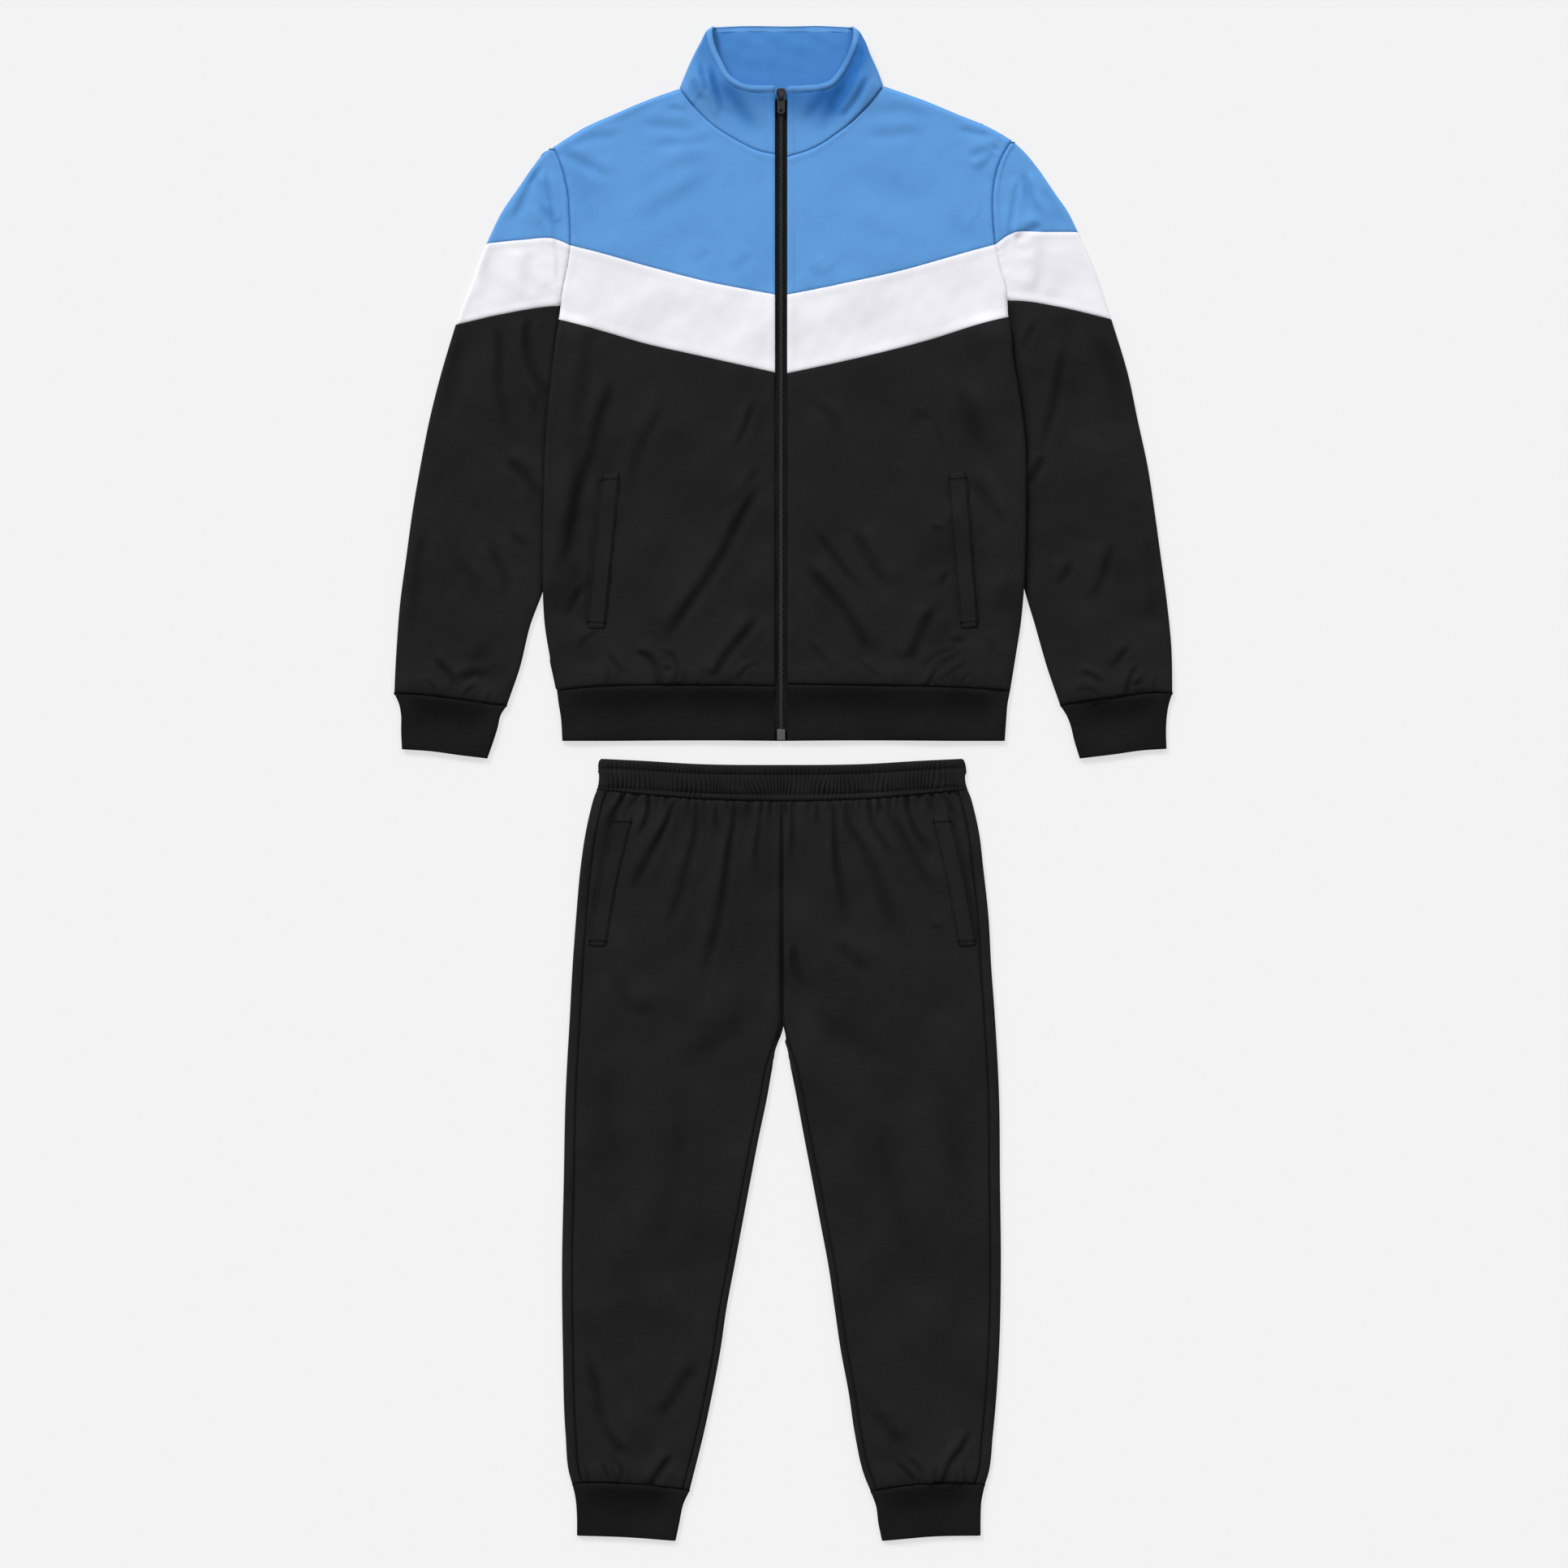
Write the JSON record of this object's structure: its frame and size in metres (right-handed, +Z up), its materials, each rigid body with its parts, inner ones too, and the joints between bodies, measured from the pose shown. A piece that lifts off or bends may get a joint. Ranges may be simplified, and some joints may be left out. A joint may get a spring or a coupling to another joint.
{
  "type": "tracksuit",
  "caption": "Zip track jacket with stand collar, chevron band and welt pockets above matching joggers with gathered waistband and rib cuffs, laid flat.",
  "frame": {"origin": "centre of the bounding box on the surface the garments lie on", "axes": "+Y from the ankles to the collar, +X to the right of a viewer looking down, +Z up off the surface"},
  "size_m": [0.8836, 1.7184, 0.0127],
  "materials": {
    "knit_blue": "matt tricot knit",
    "knit_white": "matt tricot knit",
    "knit_black": "matt tricot knit",
    "rib_black": "rib knit",
    "zip_tape": "woven tape",
    "zip_plastic": "satin",
    "zip_metal": "satin black"
  },
  "bodies": {
    "garment": {"jacket_band_back": "knit_white", "jacket_band_front_left": "knit_white", "jacket_band_front_right": "knit_white", "jacket_collar": "knit_blue", "jacket_cuff_left": "rib_black", "jacket_cuff_right": "rib_black", "jacket_hem_back": "rib_black", "jacket_hem_front_left": "rib_black", "jacket_hem_front_right": "rib_black", "jacket_lower_back": "knit_black", "jacket_lower_front_left": "knit_black", "jacket_lower_front_right": "knit_black", "jacket_sleeve_band_left": "knit_white", "jacket_sleeve_band_right": "knit_white", "jacket_sleeve_cap_left": "knit_blue", "jacket_sleeve_cap_right": "knit_blue", "jacket_sleeve_left": "knit_black", "jacket_sleeve_right": "knit_black", "jacket_welt_left": "knit_black", "jacket_welt_right": "knit_black", "jacket_yoke_back": "knit_blue", "jacket_yoke_front_left": "knit_blue", "jacket_yoke_front_right": "knit_blue", "joggers_cuff_left": "rib_black", "joggers_cuff_right": "rib_black", "joggers_leg_back_left": "knit_black", "joggers_leg_back_right": "knit_black", "joggers_leg_front_left": "knit_black", "joggers_leg_front_right": "knit_black", "joggers_waistband_back": "knit_black", "joggers_waistband_front": "knit_black", "joggers_welt_left": "knit_black", "joggers_welt_right": "knit_black", "zip_box": "zip_plastic", "zip_coil": "zip_plastic", "zip_slider": "zip_metal", "zip_tape_left": "zip_tape", "zip_tape_right": "zip_tape"},
    "pull": {"zip_pull_tab": "zip_metal"}
  },
  "joints": [
    {"name": "pull_swing", "type": "hinge", "parent": "garment", "child": "pull", "pos_m": [-0.0023, 0.7779, 0.0077], "axis": [-1, 0, 0], "range_deg": [0, 150]}
  ]
}
